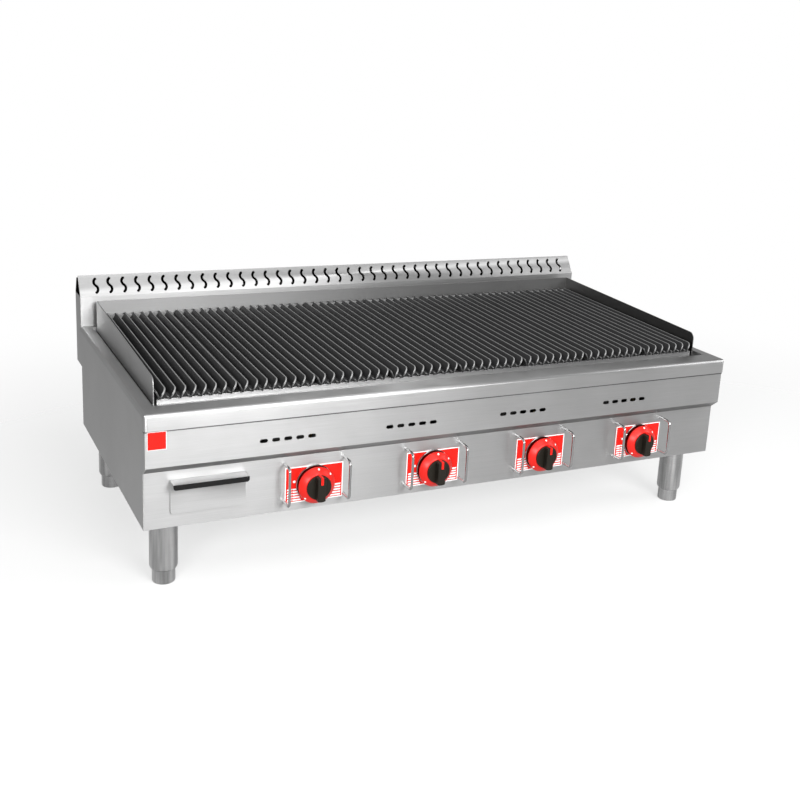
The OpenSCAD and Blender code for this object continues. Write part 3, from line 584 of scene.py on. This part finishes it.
def wire_guards():
    path = wire_path()
    bm = bmesh.new()
    for x in [k + s for k in KNOBS for s in (-WIRE_X, WIRE_X)]:
        rings = []
        for n, (y, z) in enumerate(path):
            before, after = path[max(n - 1, 0)], path[min(n + 1, len(path) - 1)]
            ty, tz = after[0] - before[0], after[1] - before[1]
            size = math.hypot(ty, tz)
            ty, tz = ty / size, tz / size
            rings.append([bm.verts.new(at(x + WIRE_R * math.cos(a), y - tz * WIRE_R * math.sin(a),
                                          z + ty * WIRE_R * math.sin(a)))
                          for a in [2 * math.pi * k / 20 for k in range(20)]])
        swept(bm, rings)
    built("knob_wire_guards_plated", bm, chrome, "casing", ["knob_wire_guards"], 40)


def controls():
    for i, x in enumerate(KNOBS, 1):
        knob_skirt(i, x)
        knob_pointer(i, x)
        knob_dots(i, x)
        knob_grip(i, x)
    bezels()
    dressed("control_plates", red_enamel, 0.15)
    dressed("badge", red_enamel, 0.2)
    plate_print()
    wire_guards()
    for i in range(1, len(KNOBS) + 1):
        dressed(f"valve_spindle_{i}", chrome, 0)
    dressed("drawer_grip", black_rubber, 0.5)


# ---- legs ----

def leg_tubes():
    """Tubes with a rounded lower end, and inside each the nut that the foot screws into."""
    bm = bmesh.new()
    for x, y in LEGS:
        lathe(bm, [(20.7, 26), (21.4, 26), (22.4, 26.6), (24.0, 29.2), (24.8, 31.6), (25, 34.4),
                   (25, 125), (23.5, 125), (23.5, 79), (8.05, 79), (8.05, 66), (23.5, 66), (23.5, 36),
                   (20.7, 36)], at(x, y, 0), (0, 0, 1), closed=True)
    built("leg_tubes_turned", bm, turned, "casing", ["leg_tubes"], 40)


def levelling_foot(i, x, y):
    """A foot and its stud."""
    bm = bmesh.new()
    lathe(bm, [(0, 0), (17.4, 0), (19.0, 0.35), (20.1, 1.5), (20.4, 3.0), (20.4, 57.4), (19.8, 58),
               (8, 58), (8, 104.4), (7.4, 105), (0, 105)], at(x, y, 0), (0, 0, 1))
    built(f"foot_{i}_turned", bm, turned, f"levelling_foot_{i}", [f"foot_{i}"], 40)


casing()
apron_shadow_strip()
guard_shadow_strip()
for i in range(GRATES):
    grate(i)
controls()
leg_tubes()
for i, (x, y) in enumerate(LEGS, 1):
    levelling_foot(i, x, y)

# ---- stage, light and camera ----
WORLD_LIGHT, BACKDROP = 0.41, 1.0
FLOOR_HALF = 30        # metres
FLOOR_ALPHA = 0.4      # near the grill
FADE_FROM, FADE_TO = 1.3, 2.6


def studio():
    """An even white world, brighter to the camera than as a light on the pieces."""
    world = bpy.data.worlds.new("studio")
    bpy.context.scene.world = world
    world.use_nodes = True
    sky = world.node_tree.nodes["Background"]
    sky.inputs["Color"].default_value = (1, 1, 1, 1)
    seen = world.node_tree.nodes.new("ShaderNodeLightPath")
    strength = world.node_tree.nodes.new("ShaderNodeMapRange")
    strength.inputs["To Min"].default_value = WORLD_LIGHT
    strength.inputs["To Max"].default_value = BACKDROP
    world.node_tree.links.new(seen.outputs["Is Camera Ray"], strength.inputs["Value"])
    world.node_tree.links.new(strength.outputs["Result"], sky.inputs["Strength"])


def pale_floor():
    """A floor that fades into the backdrop away from the grill."""
    mesh = bpy.data.meshes.new("floor")
    mesh.from_pydata([(x * FLOOR_HALF, y * FLOOR_HALF, 0) for x, y in ((-1, -1), (1, -1), (1, 1), (-1, 1))],
                     [], [(0, 1, 2, 3)])
    floor = bpy.data.objects.new("floor", mesh)
    bpy.context.scene.collection.objects.link(floor)
    floor.location = (0.1, -0.9, 0)
    mat, tree, bsdf = shader("floor_white", (0.9, 0.9, 0.9), 0.0, 0.9)
    mesh.materials.append(mat)
    spot = tree.nodes.new("ShaderNodeTexCoord")
    reach = tree.nodes.new("ShaderNodeVectorMath")
    reach.operation = "LENGTH"
    fade = tree.nodes.new("ShaderNodeMapRange")
    fade.interpolation_type = "SMOOTHSTEP"
    fade.inputs["From Min"].default_value = FADE_FROM
    fade.inputs["From Max"].default_value = FADE_TO
    fade.inputs["To Min"].default_value = FLOOR_ALPHA
    fade.inputs["To Max"].default_value = 0.0
    tree.links.new(spot.outputs["Object"], reach.inputs[0])
    tree.links.new(reach.outputs["Value"], fade.inputs["Value"])
    tree.links.new(fade.outputs["Result"], bsdf.inputs["Alpha"])


def softbox(name, place, target, width, height, power):
    light = bpy.data.lights.new(name, "AREA")
    light.shape = "RECTANGLE"
    light.size, light.size_y, light.energy = width, height, power
    obj = bpy.data.objects.new(name, light)
    bpy.context.scene.collection.objects.link(obj)
    obj.location = place
    obj.rotation_euler = (Vector(target) - Vector(place)).to_track_quat("-Z", "Y").to_euler()


def camera():
    """The photograph's viewpoint, with the lens shifted as its perspective shows."""
    lens = bpy.data.cameras.new("camera")
    obj = bpy.data.objects.new("camera", lens)
    bpy.context.scene.collection.objects.link(obj)
    lens.sensor_width = 36.0
    lens.lens = 50.237
    lens.shift_x = -0.04246
    lens.shift_y = -0.07546
    axes = ((0.892562, 0.067499, -0.445843), (-0.447458, 0.254931, -0.857200),
            (0.055799, 0.964600, 0.257745))
    obj.matrix_world = Matrix.Translation((-0.98797, -2.04885, 0.95187)) @ Matrix(axes).to_4x4()
    bpy.context.scene.camera = obj


studio()
pale_floor()
softbox("far_left", (-2.4, -3.4, 1.4), (-0.6, -0.8, 0.0), 1.8, 1.2, 124)
softbox("front", (0.3, -3.4, 1.8), (0.1, -0.3, 0.2), 1.8, 1.2, 102)
softbox("high", (-0.2, -1.8, 3.0), (0, 0, 0.3), 2.6, 1.4, 24.2)
softbox("right", (3.0, -1.4, 1.6), (0.2, 0, 0.2), 1.4, 1.4, 24)
camera()
bpy.context.scene.view_settings.view_transform = "Standard"
